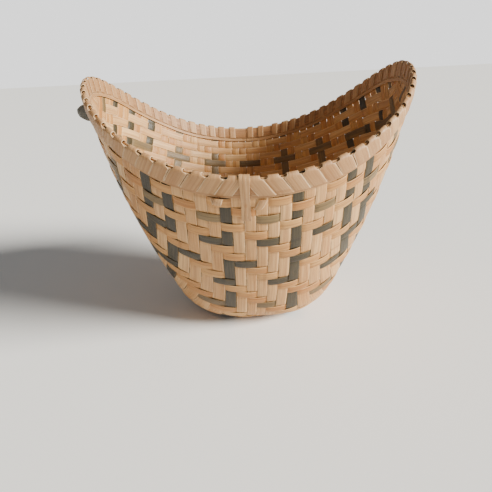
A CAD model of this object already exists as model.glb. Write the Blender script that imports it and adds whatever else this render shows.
import math
import random

import bpy
from mathutils import Matrix, Vector


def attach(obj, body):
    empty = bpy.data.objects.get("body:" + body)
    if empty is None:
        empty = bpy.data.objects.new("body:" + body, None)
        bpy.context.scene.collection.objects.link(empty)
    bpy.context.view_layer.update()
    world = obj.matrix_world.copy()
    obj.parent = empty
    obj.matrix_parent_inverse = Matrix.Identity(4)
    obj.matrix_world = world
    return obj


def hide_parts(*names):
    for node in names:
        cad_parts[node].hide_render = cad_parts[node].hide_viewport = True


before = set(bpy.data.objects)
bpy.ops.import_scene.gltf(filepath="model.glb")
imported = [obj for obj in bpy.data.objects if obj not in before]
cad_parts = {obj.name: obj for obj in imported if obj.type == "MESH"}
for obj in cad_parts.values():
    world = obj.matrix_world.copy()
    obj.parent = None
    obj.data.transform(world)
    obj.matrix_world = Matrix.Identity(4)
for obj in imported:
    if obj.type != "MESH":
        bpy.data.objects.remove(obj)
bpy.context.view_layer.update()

# A bamboo steamer basket, plaited from two families of strips that stand upright on one half and
# lie level on the other, with two hoops lashed round its rim. It is worked out in millimetres, as
# its maker would measure it, and built in metres.
MM = 0.001
HALF_PI = math.pi / 2

# ---- the wall ----
RIM_HEIGHT_FRONT = 168.0
EAR_HEIGHT = 234.0
DEPTH_AT_RIM = 257.0
DEPTH_AT_WAIST = 188.4
WAIST_HEIGHT = 84.0
DEPTH_AT_BASE = 107.0
BASE_SIDE_EXTRA = 15.7
EAR_SIDE_LOSS = 11.5
RIM_DIP = 6.9
BASE_ROUND = 45.0

# ---- the rim, in millimetres ----
BAND_HEIGHT = 13.0
HOOP_TOP_GAP = 0.6             # from the wall's top edge down to the hoops
HOOP_NEAR = 0.55               # from the wall's middle to the near face of either hoop
HOOP_FAR = 2.05                # to the far face of the outer hoop
HOOP_FAR_INSIDE = 1.5
HOOP_WAVE = 0.05               # how far a hoop wanders from its line
BINDER_GAP = 0.3
BINDER_HEIGHT = 3.0
BINDER_NEAR = 1.0
BINDER_FAR = 1.6
BINDER_WAVE = 0.45
BAND_DEPTH = BAND_HEIGHT + BINDER_GAP + BINDER_HEIGHT
LASH_OUT = 2.42                # from the wall's middle, outside
LASH_IN = 1.85                 # and inside
LASH_PITCH = 12.6
LASH_WIDTH = 12.4
LASH_WIDTH_INSIDE = 7.2
LASH_THICKNESS = 0.5
LASH_SLANT = 8.0
LASH_START = -9.0              # from the front centre
LASH_GAP = 1.0                 # between the start and the first turn
BACK_SLANT = 0.35              # share of the slant left where the two lashings meet
FOLD_START = 1.2               # below the wall's top edge, where a strip starts to fold over
TIE_TAIL = 36.0
TIE_RIB_PITCH = 2.35
TIE_RIB_WIDTH = 2.3
TIE_THICKNESS = 0.75
END_WIDTH = 6.0
END_LENGTH = 12.0
END_THICKNESS = 0.55
FLAP_OFFSET = 38.0             # in front of the left ear, along the rim
FLAP_DOWN = 22.0
FLAP_LENGTH = 21.0
FLAP_WIDTH = 14.0
FLAP_NEAR = 2.4                # from the wall's middle, at its fixed end
FLAP_STAND = 12.0              # and how much further out at its free end
FLAP_THICKNESS = 0.6

# ---- the mat, in strip pitches unless a size is named ----
CENTRE_STRIPS = 3
FAMILY_STRIPS = 24
EAR_CORNER = 3.0
ROW_CROWDING = 0.16
CENTRE_PITCH = 8.5             # mm
WEAVE_DRIFT = 2.8              # mm
BAND_ROOM = 0.7                # mm, between the binder and the first level strip
HALF_RIDGE = CENTRE_STRIPS / 2
RIDGE_REACH = (CENTRE_STRIPS - 1) // 2

# ---- the strips, in millimetres ----
STRIP_FILL = 0.975             # share of the pitch
STRIP_THICKNESS = 0.62
RISE = 0.56                    # how far a strip lies off the wall's middle where it crosses
BELLY_BULGE = 0.95             # how much more a level strip stands out between crossings
LEG_BULGE = 0.18
BASE_LIFT = 1.70               # middle of the wall above the table


# ---- shape of the wall ----

def wall_depth(z):
    """Half depth of the wall at a height."""
    z1, z2 = WAIST_HEIGHT, RIM_HEIGHT_FRONT
    r0, r1, r2 = DEPTH_AT_BASE / 2, DEPTH_AT_WAIST / 2, DEPTH_AT_RIM / 2
    first = (r1 - r0) / z1
    second = ((r2 - r1) / (z2 - z1) - first) / z2
    return r0 + first * z + second * z * (z - z1)


def wall_lean(z):
    """Angle of the wall from upright at a height."""
    return math.atan2(wall_depth(z + 0.5) - wall_depth(z - 0.5), 1.0)


def build_section():
    """The front section from the middle of the base upwards: distance, depth, height, lean."""
    turn = HALF_PI - wall_lean(0.0)
    flat = DEPTH_AT_BASE / 2 - BASE_ROUND * math.tan(turn / 2)
    rows = [(0.0, 0.0, 0.0, HALF_PI), (flat, flat, 0.0, HALF_PI)]
    for step in range(1, 61):
        angle = turn * step / 60
        rows.append((flat + BASE_ROUND * angle, flat + BASE_ROUND * math.sin(angle),
                     BASE_ROUND * (1 - math.cos(angle)), HALF_PI - angle))
    length, depth, height, _ = rows[-1]
    offset = depth - wall_depth(height)
    while height < EAR_HEIGHT + 20.0:
        height += 1.0
        length += math.hypot(wall_depth(height) + offset - depth, 1.0)
        depth = wall_depth(height) + offset
        rows.append((length, depth, height, wall_lean(height)))
    return rows


SECTION = build_section()


def at_distance(distance):
    """Depth, height and lean of the wall at a distance from the ridge."""
    low, high = 0, len(SECTION) - 1
    while high - low > 1:
        middle = (low + high) // 2
        if SECTION[middle][0] <= distance:
            low = middle
        else:
            high = middle
    a, b = SECTION[low], SECTION[high]
    share = (distance - a[0]) / (b[0] - a[0])
    return [a[k] + share * (b[k] - a[k]) for k in (1, 2, 3)]


def level_curve(distance):
    """Half depth, half width of the rounded end, half straight, height and lean of one level."""
    depth, height, lean = at_distance(distance)
    straight = BASE_SIDE_EXTRA * max(0.0, 1 - height / 100.0) ** 2
    extra = BASE_SIDE_EXTRA - (BASE_SIDE_EXTRA + EAR_SIDE_LOSS) * (height / EAR_HEIGHT) ** 2
    return depth, depth + extra - straight, straight, height, lean


def on_wall(turn, distance):
    """Point and outward normal. turn runs from 0 at the front centre to 1 at the right side."""
    depth, end, straight, height, lean = level_curve(distance)
    quarter = straight + HALF_PI * (end + depth) / 2
    along = abs(turn) * quarter
    side = 1.0 if turn >= 0 else -1.0
    if along <= straight or quarter - straight < 1e-6:
        x, y, nx, ny = along, -depth, 0.0, -1.0
    else:
        angle = (along - straight) / (quarter - straight) * HALF_PI
        x = straight + end * math.sin(angle)
        y = -depth * math.cos(angle)
        nx, ny = depth * math.sin(angle), -end * math.cos(angle)
        size = math.hypot(nx, ny)
        nx, ny = nx / size, ny / size
    normal = Vector((side * nx * math.cos(lean), ny * math.cos(lean), -math.sin(lean)))
    return Vector((side * x, y, height + BASE_LIFT)), normal


def rim_level(angle):
    """Height of the rim at an angle from the front centre."""
    swell = (EAR_HEIGHT - RIM_HEIGHT_FRONT) * (1 - math.cos(2 * angle)) / 2
    return RIM_HEIGHT_FRONT + swell - RIM_DIP * (1 - math.cos(4 * angle)) / 2


def find_rim(turn):
    """Distance from the ridge up the wall to the rim's height at one turn."""
    low, high = 40.0, SECTION[-1][0] - 1.0
    for _ in range(40):
        middle = (low + high) / 2
        point, _ = on_wall(turn, middle)
        if point.z < rim_level(math.atan2(point.x, -point.y)):
            low = middle
        else:
            high = middle
    return (low + high) / 2


RIM_STEPS = 180
RIM_TABLE = [find_rim(step / RIM_STEPS) for step in range(RIM_STEPS + 1)]


def rim_distance(turn):
    """Distance from the ridge to the rim up the wall at one turn."""
    spot = min(abs(turn), 1.0) * RIM_STEPS
    low = min(int(spot), RIM_STEPS - 1)
    return RIM_TABLE[low] + (spot - low) * (RIM_TABLE[low + 1] - RIM_TABLE[low])


# ---- from the mat to the wall ----

BAND_SHARE = (BAND_DEPTH + BAND_ROOM) / min(RIM_TABLE) / (1 - ROW_CROWDING)
RIM_ROWS = FAMILY_STRIPS * BAND_SHARE / (1 - BAND_SHARE)
TOP_ROW = FAMILY_STRIPS + math.ceil(RIM_ROWS)
MAT_REACH = FAMILY_STRIPS + RIM_ROWS


def mat_edge(angle):
    """Distance from the ridge's end to the mat's edge. 0 is straight up."""
    corner = MAT_REACH - EAR_CORNER
    if math.tan(angle) * MAT_REACH <= corner:
        return MAT_REACH / math.cos(angle)
    diagonal = corner * math.sqrt(2)
    away = math.pi / 4 - angle
    return diagonal * math.cos(away) + math.sqrt(EAR_CORNER ** 2 - (diagonal * math.sin(away)) ** 2)


def leg_top(across):
    """Height of the mat's edge above the ridge for an upright strip."""
    beyond = across - HALF_RIDGE - (MAT_REACH - EAR_CORNER)
    if beyond <= 0:
        return MAT_REACH
    return MAT_REACH - EAR_CORNER + math.sqrt(max(EAR_CORNER ** 2 - beyond ** 2, 0.0))


def place(across, up, offset, back):
    """Point at offset outside the wall, for a place on the mat's front or back half."""
    beyond = abs(across) - HALF_RIDGE
    if beyond <= 0:
        out, angle, arc = up, 0.0, abs(across)
    else:
        out = math.hypot(beyond, up)
        angle = min(math.atan2(beyond, up), math.pi / 4)
        arc = HALF_RIDGE + out * angle
    arc_end = HALF_RIDGE + out * math.pi / 4
    share = arc / arc_end
    fraction = out / mat_edge(angle)
    fraction *= 1 + ROW_CROWDING * (1 - fraction)
    distance = fraction * rim_distance(share)
    depth, end, straight, _, _ = level_curve(distance)
    quarter = straight + HALF_PI * (end + depth) / 2
    side = 1.0 if across >= 0 else -1.0
    turn = share
    if quarter > 0:
        spread = min(1.0, CENTRE_PITCH * arc_end / quarter)
        turn = spread * share + (1 - spread) * share ** 3
        fade = min(1.0, distance / DEPTH_AT_BASE)
        turn += side * WEAVE_DRIFT / quarter * fade * (1 - turn ** 2)
    point, normal = on_wall(turn, fraction * rim_distance(turn))
    point = point + offset * normal
    return Vector((side * point.x, -point.y if back else point.y, point.z))


# ---- which strip lies outside at each crossing ----

def upright_outside(column, row):
    """True where the upright strip lies outside the level one. Rows count down from the rim."""
    step = 2 * min(row, 4) + max(row - 4, 0)
    return (column + 7 - step) % 5 < 3


def crossing(first, second, side):
    """+1 where strip number first of one family lies outside strip number second of the other."""
    if second > first:
        upright = upright_outside(side * (RIDGE_REACH + first), FAMILY_STRIPS - second)
        return 1.0 if upright else -1.0
    upright = upright_outside(side * (RIDGE_REACH + second), FAMILY_STRIPS - first)
    return -1.0 if upright else 1.0


# ---- places along the rim ----

def build_rim_lengths():
    """Length along the rim from the front centre to each step of one quarter."""
    lengths = [0.0]
    points = [on_wall(step / RIM_STEPS, RIM_TABLE[step])[0] for step in range(RIM_STEPS + 1)]
    for before, after in zip(points, points[1:]):
        lengths.append(lengths[-1] + (after - before).length)
    return lengths


RIM_LENGTHS = build_rim_lengths()
RIM_QUARTER = RIM_LENGTHS[-1]


def rim_turn(along):
    """Turn of a place in the first quarter of the rim."""
    low = 0
    while low < RIM_STEPS - 1 and RIM_LENGTHS[low + 1] < along:
        low += 1
    share = (along - RIM_LENGTHS[low]) / (RIM_LENGTHS[low + 1] - RIM_LENGTHS[low])
    return (low + share) / RIM_STEPS


def near_rim(along, down, out):
    """Point at a length along the rim (+ right of the front centre), below it and outside it."""
    side = 1.0 if along >= 0 else -1.0
    along = abs(along)
    back = along > RIM_QUARTER
    if back:
        along = 2 * RIM_QUARTER - along
    if along < 0:
        along, side = -along, -side
    turn = rim_turn(along)
    point, normal = on_wall(turn, rim_distance(turn) - down)
    point = point + out * normal
    return Vector((side * point.x, -point.y if back else point.y, point.z))


# ---- meshes ----

# Half of a strip's cross-section: share of the half width, share of the thickness.
RING = [(-1.0, 0.2), (-0.94, 0.46), (-0.5, 0.53), (0.0, 0.55), (0.5, 0.53), (0.94, 0.46),
        (1.0, 0.2), (1.0, -0.22), (0.94, -0.5), (0.0, -0.5), (-0.94, -0.5), (-1.0, -0.22)]


def strip_mesh(stations, thickness, seed):
    """Vertices, faces, grain and edge values of a solid strip.

    Each station is its left, middle and right point in millimetres. The grain holds metres along
    the strip, metres across it and the strip's seed, so that fibres follow it wherever it bends.
    The edge value is 1 at the strip's two edges and 0 in its middle.
    """
    vertices, faces, grain, edge = [], [], [], []
    along = 0.0
    last = len(stations) - 1
    for index, (left, middle, right) in enumerate(stations):
        before = stations[max(index - 1, 0)][1]
        after = stations[min(index + 1, last)][1]
        if index:
            along += (middle - before).length
        normal = (right - left).cross(after - before).normalized()
        half = (right - left) * 0.5
        bow = (right + left) * 0.5 - middle
        for across, height in RING:
            point = middle + half * across + bow * across * across + normal * (height * thickness)
            vertices.append(point * MM)
            grain.append((along * MM, across * half.length * MM, seed))
            edge.append(across * across)
    size = len(RING)
    for index in range(last):
        for k in range(size):
            n = (k + 1) % size
            a, b = index * size, (index + 1) * size
            faces.append((a + n, a + k, b + k, b + n))
    faces.append(tuple(range(size)))
    faces.append(tuple(last * size + k for k in reversed(range(size))))
    return vertices, faces, grain, edge


def make_piece(name, material, meshes):
    """One piece from several strip meshes. It stands for the CAD node of the same name."""
    vertices, faces, grain, edge = [], [], [], []
    for part_vertices, part_faces, part_grain, part_edge in meshes:
        start = len(vertices)
        vertices += part_vertices
        faces += [tuple(start + k for k in face) for face in part_faces]
        grain += part_grain
        edge += part_edge
    mesh = bpy.data.meshes.new(name)
    mesh.from_pydata(vertices, [], faces)
    mesh.attributes.new("grain", "FLOAT_VECTOR", "POINT").data.foreach_set(
        "vector", [value for row in grain for value in row])
    mesh.attributes.new("edge", "FLOAT", "POINT").data.foreach_set("value", edge)
    mesh.materials.append(material)
    mesh.shade_smooth()
    mesh.set_sharp_from_angle(angle=math.radians(55))
    piece = bpy.data.objects.new(name, mesh)
    bpy.context.scene.collection.objects.link(piece)
    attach(piece, "root")
    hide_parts(name)


# ---- materials ----

def node_group(name, inputs, outputs):
    """Empty shader group with named sockets, and its input and output nodes."""
    group = bpy.data.node_groups.new(name, "ShaderNodeTree")
    for label, kind, value in inputs:
        socket = group.interface.new_socket(label, in_out="INPUT", socket_type=kind)
        if value is not None:
            socket.default_value = value
    for label, kind in outputs:
        group.interface.new_socket(label, in_out="OUTPUT", socket_type=kind)
    return group, group.nodes.new("NodeGroupInput"), group.nodes.new("NodeGroupOutput")


def add_node(tree, kind, values=(), **settings):
    """New node with its settings, and its inputs linked to sockets or set to values."""
    node = tree.nodes.new(kind)
    for key, value in settings.items():
        setattr(node, key, value)
    for key, value in values:
        if isinstance(value, bpy.types.NodeSocket):
            tree.links.new(value, node.inputs[key])
        else:
            node.inputs[key].default_value = value
    return node


def add_math(tree, operation, a, b=0.0, c=0.0, clamp=False):
    """Result of a maths node on sockets or values."""
    values = [(0, a), (1, b)] + ([(2, c)] if operation == "MULTIPLY_ADD" else [])
    return add_node(tree, "ShaderNodeMath", values, operation=operation,
                    use_clamp=clamp).outputs[0]


def add_ramp(tree, value, low, high):
    """Value carried from the range low to high onto 0 to 1, smoothly."""
    return add_node(tree, "ShaderNodeMapRange",
                    [("Value", value), ("From Min", low), ("From Max", high)],
                    interpolation_type="SMOOTHSTEP").outputs["Result"]


def add_mix(tree, factor, a, b):
    """Colour a where factor is 0 and b where it is 1."""
    return add_node(tree, "ShaderNodeMix", [(0, factor), (6, a), (7, b)],
                    data_type="RGBA").outputs[2]


def fibre_group():
    """Fibres along a strip, slow changes of tone along it, and a tone of its own for each strip."""
    group, given, result = node_group(
        "bamboo_fibres",
        [("Grain", "NodeSocketVector", None), ("Fibre Width", "NodeSocketFloat", 0.0003)],
        [("Fibre", "NodeSocketFloat"), ("Streak", "NodeSocketFloat"), ("Tone", "NodeSocketFloat"),
         ("Strip", "NodeSocketFloat"), ("Joint", "NodeSocketFloat")])
    parts = add_node(group, "ShaderNodeSeparateXYZ", [(0, given.outputs["Grain"])]).outputs
    along, across, seed = parts[0], parts[1], parts[2]
    number = add_math(group, "MULTIPLY", seed, 61.0)
    fine = add_math(group, "DIVIDE", across, given.outputs["Fibre Width"])

    def streaks(stretch, width, detail):
        spot = add_node(group, "ShaderNodeCombineXYZ", [
            (0, add_math(group, "MULTIPLY", along, stretch)),
            (1, add_math(group, "MULTIPLY", fine, width)), (2, number)])
        return add_node(group, "ShaderNodeTexNoise", [
            ("Vector", spot.outputs[0]), ("Scale", 1.0), ("Detail", detail),
            ("Roughness", 0.6)]).outputs["Fac"]

    fibre = add_ramp(group, streaks(55.0, 1.0, 2.0), 0.3, 0.7)
    streak = add_ramp(group, streaks(14.0, 0.22, 2.0), 0.36, 0.68)
    tone = add_ramp(group, streaks(26.0, 0.03, 1.0), 0.3, 0.7)
    own = add_node(group, "ShaderNodeTexWhiteNoise", [("W", number)],
                   noise_dimensions="1D").outputs["Value"]
    # The cane has a joint about every 24 cm, at a place of its own on each strip.
    period = add_math(group, "FRACT", add_math(group, "MULTIPLY_ADD", along, 4.1, own))
    joint = add_ramp(group, add_math(group, "ABSOLUTE", add_math(group, "SUBTRACT", period, 0.5)),
                     0.009, 0.003)
    for label, value in (("Fibre", fibre), ("Streak", streak), ("Tone", tone), ("Strip", own),
                         ("Joint", joint)):
        group.links.new(value, result.inputs[label])
    return group


def wear_group():
    """Torn and rubbed fibres along a strip's edges."""
    group, given, result = node_group(
        "edge_wear",
        [("Grain", "NodeSocketVector", None), ("Edge", "NodeSocketFloat", 0.0),
         ("Reach", "NodeSocketFloat", 0.5)],
        [("Worn", "NodeSocketFloat")])
    parts = add_node(group, "ShaderNodeSeparateXYZ", [(0, given.outputs["Grain"])]).outputs
    spot = add_node(group, "ShaderNodeCombineXYZ", [
        (0, add_math(group, "MULTIPLY", parts[0], 160.0)),
        (1, add_math(group, "MULTIPLY", parts[1], 600.0)),
        (2, add_math(group, "MULTIPLY", parts[2], 23.0))])
    noise = add_node(group, "ShaderNodeTexNoise", [("Vector", spot.outputs[0]), ("Scale", 1.0),
                                                   ("Detail", 3.0)]).outputs["Fac"]
    level = add_math(group, "MULTIPLY_ADD", noise, given.outputs["Reach"],
                     given.outputs["Edge"])
    group.links.new(add_ramp(group, level, 0.95, 1.3), result.inputs["Worn"])
    return group


def stain_group():
    """Cloudy browning from steam and handling, and dust that lies on what faces up."""
    group, given, result = node_group(
        "steam_stain",
        [("Size", "NodeSocketFloat", 0.06)],
        [("Stain", "NodeSocketFloat"), ("Dust", "NodeSocketFloat")])
    geometry = add_node(group, "ShaderNodeNewGeometry")
    scale = add_math(group, "DIVIDE", 1.0, given.outputs["Size"])
    cloud = add_node(group, "ShaderNodeTexNoise", [
        ("Vector", geometry.outputs["Position"]), ("Scale", scale), ("Detail", 4.0)]).outputs["Fac"]
    speck = add_node(group, "ShaderNodeTexNoise", [
        ("Vector", geometry.outputs["Position"]), ("Scale", 900.0), ("Detail", 2.0)]).outputs["Fac"]
    up = add_node(group, "ShaderNodeSeparateXYZ", [(0, geometry.outputs["Normal"])]).outputs[2]
    dust = add_math(group, "MULTIPLY", add_ramp(group, up, 0.1, 0.9),
                    add_ramp(group, speck, 0.4, 0.7))
    group.links.new(add_ramp(group, cloud, 0.35, 0.7), result.inputs["Stain"])
    group.links.new(dust, result.inputs["Dust"])
    return group


FIBRES = fibre_group()
EDGE_WEAR = wear_group()
STEAM_STAIN = stain_group()


def bamboo(name, pale, deep, streak_colour, edge_colour, roughness=0.5, fibre_width=0.0003,
           variety=0.6, stain_colour=(0.30, 0.13, 0.04, 1)):
    """Split bamboo. pale and deep are its two tones, and variety how far strips differ."""
    material = bpy.data.materials.new(name)
    material.use_nodes = True
    tree = material.node_tree
    shader = tree.nodes["Principled BSDF"]
    grain = add_node(tree, "ShaderNodeAttribute", attribute_name="grain").outputs["Vector"]
    edge = add_node(tree, "ShaderNodeAttribute", attribute_name="edge").outputs["Fac"]
    fibres = add_node(tree, "ShaderNodeGroup", node_tree=FIBRES)
    tree.links.new(grain, fibres.inputs["Grain"])
    fibres.inputs["Fibre Width"].default_value = fibre_width
    wear = add_node(tree, "ShaderNodeGroup", node_tree=EDGE_WEAR)
    tree.links.new(grain, wear.inputs["Grain"])
    tree.links.new(edge, wear.inputs["Edge"])
    stain = add_node(tree, "ShaderNodeGroup", node_tree=STEAM_STAIN)

    own = add_math(tree, "MULTIPLY", fibres.outputs["Strip"], variety)
    tone = add_math(tree, "MULTIPLY_ADD", fibres.outputs["Tone"], 1 - variety, own, clamp=True)
    colour = add_mix(tree, tone, pale, deep)
    colour = add_mix(tree, add_math(tree, "MULTIPLY", fibres.outputs["Streak"], 0.5),
                     colour, streak_colour)
    colour = add_mix(tree, add_math(tree, "MULTIPLY", fibres.outputs["Fibre"], 0.26),
                     colour, streak_colour)
    colour = add_mix(tree, add_math(tree, "MULTIPLY", stain.outputs["Stain"], 0.22),
                     colour, stain_colour)
    colour = add_mix(tree, add_math(tree, "MULTIPLY", wear.outputs["Worn"], 0.55),
                     colour, edge_colour)
    colour = add_mix(tree, add_math(tree, "MULTIPLY", fibres.outputs["Joint"], 0.5),
                     colour, stain_colour)
    colour = add_mix(tree, add_math(tree, "MULTIPLY", stain.outputs["Dust"], 0.08),
                     colour, (0.7, 0.66, 0.58, 1))
    tree.links.new(colour, shader.inputs["Base Color"])
    rough = add_math(tree, "MULTIPLY_ADD", fibres.outputs["Fibre"], 0.22, roughness - 0.08)
    rough = add_math(tree, "MULTIPLY_ADD", wear.outputs["Worn"], 0.2, rough, clamp=True)
    tree.links.new(rough, shader.inputs["Roughness"])
    height = add_math(tree, "MULTIPLY_ADD", fibres.outputs["Streak"], 0.6, fibres.outputs["Fibre"])
    height = add_math(tree, "MULTIPLY_ADD", fibres.outputs["Joint"], 1.5, height)
    bump = add_node(tree, "ShaderNodeBump", [("Strength", 0.5), ("Distance", 0.00012),
                                             ("Height", height)])
    tree.links.new(bump.outputs["Normal"], shader.inputs["Normal"])
    shader.inputs["Specular IOR Level"].default_value = 0.42
    return material


PALE = bamboo("pale_bamboo", (0.82, 0.54, 0.245, 1), (0.54, 0.26, 0.078, 1),
              (0.27, 0.10, 0.032, 1), (0.85, 0.60, 0.34, 1), variety=0.72)
TAN = bamboo("tan_bamboo", (0.74, 0.44, 0.15, 1), (0.48, 0.20, 0.046, 1),
             (0.25, 0.085, 0.022, 1), (0.82, 0.54, 0.27, 1), variety=0.72)
OLIVE = bamboo("olive_bamboo", (0.25, 0.165, 0.066, 1), (0.16, 0.10, 0.038, 1),
               (0.075, 0.045, 0.018, 1), (0.42, 0.27, 0.12, 1), roughness=0.45,
               stain_colour=(0.06, 0.035, 0.014, 1))
DARK = bamboo("dark_bamboo", (0.085, 0.066, 0.030, 1), (0.036, 0.028, 0.014, 1),
              (0.016, 0.012, 0.007, 1), (0.22, 0.15, 0.07, 1), roughness=0.42,
              stain_colour=(0.02, 0.014, 0.008, 1))
HOOP = bamboo("hoop_bamboo", (0.46, 0.24, 0.10, 1), (0.33, 0.155, 0.055, 1),
              (0.16, 0.065, 0.022, 1), (0.6, 0.4, 0.21, 1), roughness=0.55, fibre_width=0.0005)
LASH = bamboo("lashing_bamboo", (0.56, 0.34, 0.155, 1), (0.37, 0.185, 0.068, 1),
              (0.27, 0.115, 0.04, 1), (0.86, 0.66, 0.41, 1), fibre_width=0.0004)


# ---- the woven strips ----

STEPS = 6                      # stations along each crossing


def soft_step(x):
    """0 below 0, 1 above 1, and a smooth rise between."""
    x = min(max(x, 0.0), 1.0)
    return x * x * (3 - 2 * x)


def lift_at(signs, spot, bulge):
    """Offset at a place along a strip. signs holds one sign per crossing, one pitch apart."""
    index = min(max(int(math.floor(spot + 0.5)), 0), len(signs) - 1)
    here = signs[index]
    away = spot - index
    other = index + (1 if away > 0 else -1)
    there = signs[other] if 0 <= other < len(signs) else here
    mix = soft_step((abs(away) - 0.2) / 0.6)
    lift = RISE * (here + (there - here) * mix)
    if here <= 0:
        return lift
    first = last = index
    while first > 0 and signs[first - 1] == here:
        first -= 1
    while last < len(signs) - 1 and signs[last + 1] == here:
        last += 1
    run = last - first + 1
    share = min(max((spot - (first - 0.5)) / run, 0.0), 1.0)
    return lift + bulge * math.sin(math.pi * share) * min(1.0, run / 3)


def wander(rng, size):
    """Slow random drift along a strip, as a sum of three waves."""
    waves = [(rng.uniform(0.15, 0.9), rng.uniform(0, 6.28), rng.uniform(0.3, 1.0))
             for _ in range(3)]
    return lambda spot: size * sum(a * math.sin(f * spot + p) for f, p, a in waves) / 2


def woven_mesh(signs, locate, outer_first, bulge, rng):
    """Mesh of one strip of the mat.

    locate gives the place on the mat for a spot along the strip and a distance from its middle
    line. outer_first is -1 or 1, whichever puts the strip's outer face outside.
    """
    drift = wander(rng, 0.012)
    breath = wander(rng, 0.012)
    proud = wander(rng, 0.06)
    half = STRIP_FILL / 2 * rng.uniform(0.965, 1.01)
    last = len(signs) - 1
    spots = [-0.45] + [index / STEPS for index in range(last * STEPS + 1)] + [last + 0.45]
    stations = []
    for spot in spots:
        lift = lift_at(signs, spot, bulge(spot)) + proud(spot)
        row = []
        for side in (outer_first, 0, -outer_first):
            across, up, back = locate(spot, side * half * (1 + breath(spot)) + drift(spot))
            row.append(place(across, up, lift, back))
        stations.append(row)
    return strip_mesh(stations, STRIP_THICKNESS, rng.random())


def family_strip(number, leg, rng):
    """Mesh of strip number of one family. Its legs stand on one half, and its belly lies across
    the other."""
    middle = number - 0.5
    leg_length = TOP_ROW - number
    half_run = leg_length + HALF_RIDGE + middle
    seam = 1.0 if (number + leg) % 2 else -1.0
    signs = []
    for side in (-1, 1):
        route = [crossing(number, row, side) if row <= FAMILY_STRIPS else 0.0
                 for row in range(TOP_ROW, number, -1)]
        route.append(-side * seam)
        if side < 0:
            signs += route
            for column in range(-RIDGE_REACH - number + 1, RIDGE_REACH + number):
                if abs(column) > RIDGE_REACH:
                    other = abs(column) - RIDGE_REACH
                    signs.append(crossing(number, other, 1 if column > 0 else -1))
                else:
                    outside = upright_outside(column, FAMILY_STRIPS - number)
                    signs.append(-1.0 if outside else 1.0)
        else:
            signs += reversed(route)

    def locate(spot, edge):
        across = spot - half_run
        side = 1 if across > 0 else -1
        level = middle + edge
        up = abs(across) - HALF_RIDGE
        if up >= level:
            column = HALF_RIDGE + level
            return side * column, min(up, leg_top(column) - 0.05), leg
        return across, level, not leg

    def bulge(spot):
        return LEG_BULGE if abs(spot - half_run) > HALF_RIDGE + middle else BELLY_BULGE

    return woven_mesh(signs, locate, 1 if leg else -1, bulge, rng)


def centre_strip(column, rng):
    """Mesh of one strip from the front rim, under the base, to the back rim."""
    half = [0.0 if row > FAMILY_STRIPS else
            (1.0 if upright_outside(column, FAMILY_STRIPS - row) else -1.0)
            for row in range(TOP_ROW, 0, -1)]

    def locate(spot, edge):
        up = TOP_ROW - 0.5 - spot
        if up >= 0:
            return column + edge, min(up, MAT_REACH - 0.05), False
        return column + edge, min(-up, MAT_REACH - 0.05), True

    return woven_mesh(half + half[::-1], locate, 1, lambda spot: LEG_BULGE, rng)


# Strips split from the dark outer skin of the cane, and those half way to it.
DARK_STRIPS = {(2, False), (7, False), (9, False), (19, True), (16, True), (13, True)}
OLIVE_STRIPS = {(22, True), (4, True), (9, True), (21, False), (13, False)}

for leg, family, plain in ((False, "front", PALE), (True, "back", TAN)):
    for number in range(1, FAMILY_STRIPS + 1):
        rng = random.Random(100 * number + leg)
        material = plain
        if (number, leg) in DARK_STRIPS:
            material = DARK
        elif (number, leg) in OLIVE_STRIPS:
            material = OLIVE
        make_piece("%s_leg_strip_%02d" % (family, number), material,
                   [family_strip(number, leg, rng)])
for column in range(-RIDGE_REACH, RIDGE_REACH + 1):
    make_piece("centre_strip_%d" % (column + RIDGE_REACH + 1), PALE,
               [centre_strip(column, random.Random(7000 + column))])


# ---- the rim ----

def hoop(name, material, top, bottom, near, far, wave, seed):
    """Band round the rim, with its butt joint at the back centre."""
    rng = random.Random(seed)
    rise, sway = wander(rng, wave), wander(rng, wave * 0.4)
    count = 260
    reach = 2 * RIM_QUARTER - 0.3
    stations = []
    for step in range(count + 1):
        along = reach * (2 * step / count - 1)
        shift, out = rise(along / 9.0), (near + far) / 2 + sway(along / 7.0)
        stations.append([near_rim(along, down + shift, out)
                         for down in (top, (top + bottom) / 2, bottom)])
    make_piece(name, material, [strip_mesh(stations, far - near, rng.random())])


hoop("rim_hoop_outer", HOOP, HOOP_TOP_GAP, BAND_HEIGHT, HOOP_NEAR, HOOP_FAR, HOOP_WAVE, 1)
hoop("rim_hoop_inner", HOOP, HOOP_TOP_GAP, BAND_HEIGHT, -HOOP_FAR_INSIDE, -HOOP_NEAR, HOOP_WAVE, 2)
hoop("rim_binder_outer", LASH, BAND_HEIGHT + BINDER_GAP, BAND_DEPTH,
     BINDER_NEAR, BINDER_FAR, BINDER_WAVE, 3)
hoop("rim_binder_inner", LASH, BAND_HEIGHT + BINDER_GAP, BAND_DEPTH,
     -BINDER_FAR, -BINDER_NEAR, BINDER_WAVE, 4)


def fold_profile(low_outside, low_inside, out, inside, top):
    """(down, out, share of the way up the outside) of a strip folded over the rim. top is how far
    the fold stands above the wall's top edge."""
    rows = []
    for step in range(7):
        share = step / 6
        down = low_outside + (FOLD_START - low_outside) * share
        rows.append((down, out + 0.3 * math.sin(math.pi * share), share))
    for step in range(1, 10):
        angle = math.pi * step / 10
        reach = out if step < 5 else inside
        rows.append((FOLD_START - (top + FOLD_START) * math.sin(angle), reach * math.cos(angle),
                     1.0))
    for step in range(6):
        rows.append((FOLD_START + (low_inside - FOLD_START) * step / 5, -inside, 1.0))
    return rows


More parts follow.
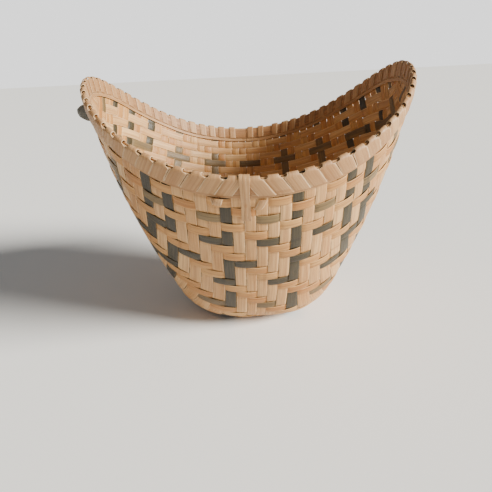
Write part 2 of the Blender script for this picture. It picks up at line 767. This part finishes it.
def lashing_turn(foot, side, slant, rng):
    """One turn of the lashing. It leans towards the front centre on its way up the outside, and
    its edge away from the front centre lies on the next turn."""
    slant *= rng.uniform(0.9, 1.1)
    width_out = LASH_WIDTH * rng.uniform(0.97, 1.05)
    width_in = LASH_WIDTH_INSIDE * rng.uniform(0.9, 1.12)
    lift = rng.uniform(-0.1, 0.25)
    stations = []
    rows = fold_profile(BAND_HEIGHT + 0.5, BAND_HEIGHT - 0.6, LASH_OUT, LASH_IN, 1.25 + lift)
    for index, (down, out, share) in enumerate(rows):
        narrow = soft_step((index - 6.2) / 2.5)    # it narrows as it folds over the top
        width = width_out + (width_in - width_out) * narrow
        centre = foot - side * share * slant
        row = []
        for edge in (-0.5, 0.0, 0.5):
            along = centre + edge * width
            shingle = 0.55 * edge * side * (1 - narrow)
            level = down + (0.25 * abs(edge) if down < 0 else 0.0)
            row.append(near_rim(along, level, out + shingle))
        stations.append(row)
    return strip_mesh(stations, LASH_THICKNESS, rng.random())


def front_tie():
    """Strip of three ribs folded over the lashed rim at the front centre."""
    rows = fold_profile(BAND_HEIGHT + 2.0, 14.0, LASH_OUT + 0.75, LASH_IN + 0.7, 2.3)
    tail = [(TIE_TAIL - 3.0 * step, 1.9 + 0.5 * math.sin(step), 0.0) for step in range(7)]
    half = TIE_RIB_WIDTH / 2
    ribs = []
    for rib in (-1, 0, 1):
        stations = []
        for down, out, _ in tail + rows:
            middle = LASH_START + rib * TIE_RIB_PITCH * (1.0 - 0.12 * math.sin(down / 9.0))
            stations.append([near_rim(middle + edge, down, out + (0.12 if rib == 0 else 0.0))
                             for edge in (-half, 0.0, half)])
        ribs.append(strip_mesh(stations, TIE_THICKNESS, 0.31 + 0.2 * rib))
    make_piece("rim_tie_front", LASH, ribs)


def lashing_end(side, offset, curl):
    """Cut end of a lashing strip beside the tie. curl rolls it up on itself."""
    stations = []
    count = 18
    low = BAND_DEPTH + 1.0
    half = END_WIDTH / 2
    for step in range(count + 1):
        share = step / count
        along = LASH_START + side * (offset - 4.0 * share)
        down, out = low + END_LENGTH * share * (1 - 0.35 * share), 2.6
        if curl:
            down, out = low + 3.2 * math.sin(curl * share), 4.6 - 2.0 * math.cos(curl * share)
        stations.append([near_rim(along + edge, down, out) for edge in (-half, 0.0, half)])
    return strip_mesh(stations, END_THICKNESS, 0.4 + 0.1 * side)


def lashing(name, side, seed, offset, curl, back_turns):
    """All turns of one half of the rim, from the front centre to the back centre, and the cut end
    of the lashing strip. back_turns fill the place where the two lashings meet."""
    rng = random.Random(seed)
    turns = int((2 * RIM_QUARTER - 2 * LASH_GAP) / LASH_PITCH) - 1
    first = LASH_GAP + LASH_SLANT + LASH_WIDTH / 2
    meshes = []
    for turn in range(turns + back_turns):
        foot = first + turn * LASH_PITCH + rng.uniform(-0.3, 0.3)
        slant = LASH_SLANT * (1.0 if turn < turns else BACK_SLANT)
        meshes.append(lashing_turn(LASH_START + side * foot, side, slant, rng))
    make_piece(name, LASH, meshes + [lashing_end(side, offset, curl)])


def ear_flap():
    """Folded strip end that stands off the outside below the left ear."""
    stations = []
    count = 14
    for step in range(count + 1):
        share = step / count
        along = -(RIM_QUARTER - FLAP_OFFSET) - FLAP_LENGTH * share
        out = FLAP_NEAR + FLAP_STAND * math.sin(share * HALF_PI) ** 2
        half = FLAP_WIDTH / 2 * (1 - 1.3 * max(0.0, share - 0.4))
        stations.append([near_rim(along, FLAP_DOWN + edge * half, out - 0.5 * edge * edge)
                         for edge in (-1, 0, 1)])
    make_piece("ear_flap_left", DARK,
               [strip_mesh(stations, FLAP_THICKNESS, 0.77)])


lashing("rim_lashing_left", -1, 11, 22.0, 4.2, 0)
lashing("rim_lashing_right", 1, 12, 12.5, 0.0, 2)
front_tie()
ear_flap()


# ---- floor, light and camera ----

def floor():
    """Wide plain table top at the height of the base."""
    mesh = bpy.data.meshes.new("floor")
    reach = 30.0
    corners = [(-reach, -reach, 0), (reach, -reach, 0), (reach, reach, 0), (-reach, reach, 0)]
    mesh.from_pydata(corners, [], [(0, 1, 2, 3)])
    material = bpy.data.materials.new("pale_floor")
    material.use_nodes = True
    shader = material.node_tree.nodes["Principled BSDF"]
    shader.inputs["Base Color"].default_value = (0.90, 0.90, 0.895, 1)
    shader.inputs["Roughness"].default_value = 0.9
    mesh.materials.append(material)
    plane = bpy.data.objects.new("floor", mesh)
    bpy.context.scene.collection.objects.link(plane)


def aim(thing, stand, target):
    """Put a lamp at its stand, pointing at its target."""
    thing.location = stand
    thing.rotation_euler = (Vector(target) - Vector(stand)).to_track_quat("-Z", "Y").to_euler()
    bpy.context.scene.collection.objects.link(thing)


def lights():
    """Strong soft light from the right, a weak warm one from the left, and a pale room."""
    sun = bpy.data.lights.new("window_light", "SUN")
    sun.energy = 10.2
    sun.angle = math.radians(22)
    sun.color = (1.0, 0.965, 0.885)
    aim(bpy.data.objects.new("window_light", sun), (1.75, -0.62, 1.0), (0, 0, 0.1))
    fill = bpy.data.lights.new("fill_light", "AREA")
    fill.energy = 0.8
    fill.size = 1.2
    fill.color = (1.0, 0.94, 0.86)
    aim(bpy.data.objects.new("fill_light", fill), (-0.9, -0.9, 0.7), (0, 0, 0.12))

    world = bpy.context.scene.world or bpy.data.worlds.new("studio")
    bpy.context.scene.world = world
    world.use_nodes = True
    tree = world.node_tree
    tree.nodes.clear()
    seen = add_node(tree, "ShaderNodeBackground", [("Color", (1, 1, 1, 1)), ("Strength", 1.6)])
    soft = add_node(tree, "ShaderNodeBackground", [("Color", (1, 1, 1, 1)), ("Strength", 0.19)])
    path = add_node(tree, "ShaderNodeLightPath")
    both = add_node(tree, "ShaderNodeMixShader", [(0, path.outputs["Is Camera Ray"]),
                                                  (1, soft.outputs[0]), (2, seen.outputs[0])])
    out = add_node(tree, "ShaderNodeOutputWorld")
    tree.links.new(both.outputs[0], out.inputs["Surface"])


def camera():
    """View from the front, a little above the rim, with the camera tilted to one side."""
    stand = Vector((-12.76, -383.6, 232.0)) * MM
    azimuth, elevation, roll = math.radians(0.6), math.radians(23.837), math.radians(-2.95)
    forward = Vector((math.sin(azimuth) * math.cos(elevation),
                      math.cos(azimuth) * math.cos(elevation), -math.sin(elevation)))
    level = forward.cross(Vector((0, 0, 1))).normalized()
    upright = level.cross(forward)
    right = math.cos(roll) * level + math.sin(roll) * upright
    up = -math.sin(roll) * level + math.cos(roll) * upright
    data = bpy.data.cameras.new("camera")
    data.lens = 28.68
    data.sensor_width = 36.0
    data.clip_start = 0.01
    thing = bpy.data.objects.new("camera", data)
    thing.matrix_world = Matrix.Translation(stand) @ Matrix(
        (right, up, -forward)).transposed().to_4x4()
    bpy.context.scene.collection.objects.link(thing)
    bpy.context.scene.camera = thing


floor()
lights()
camera()
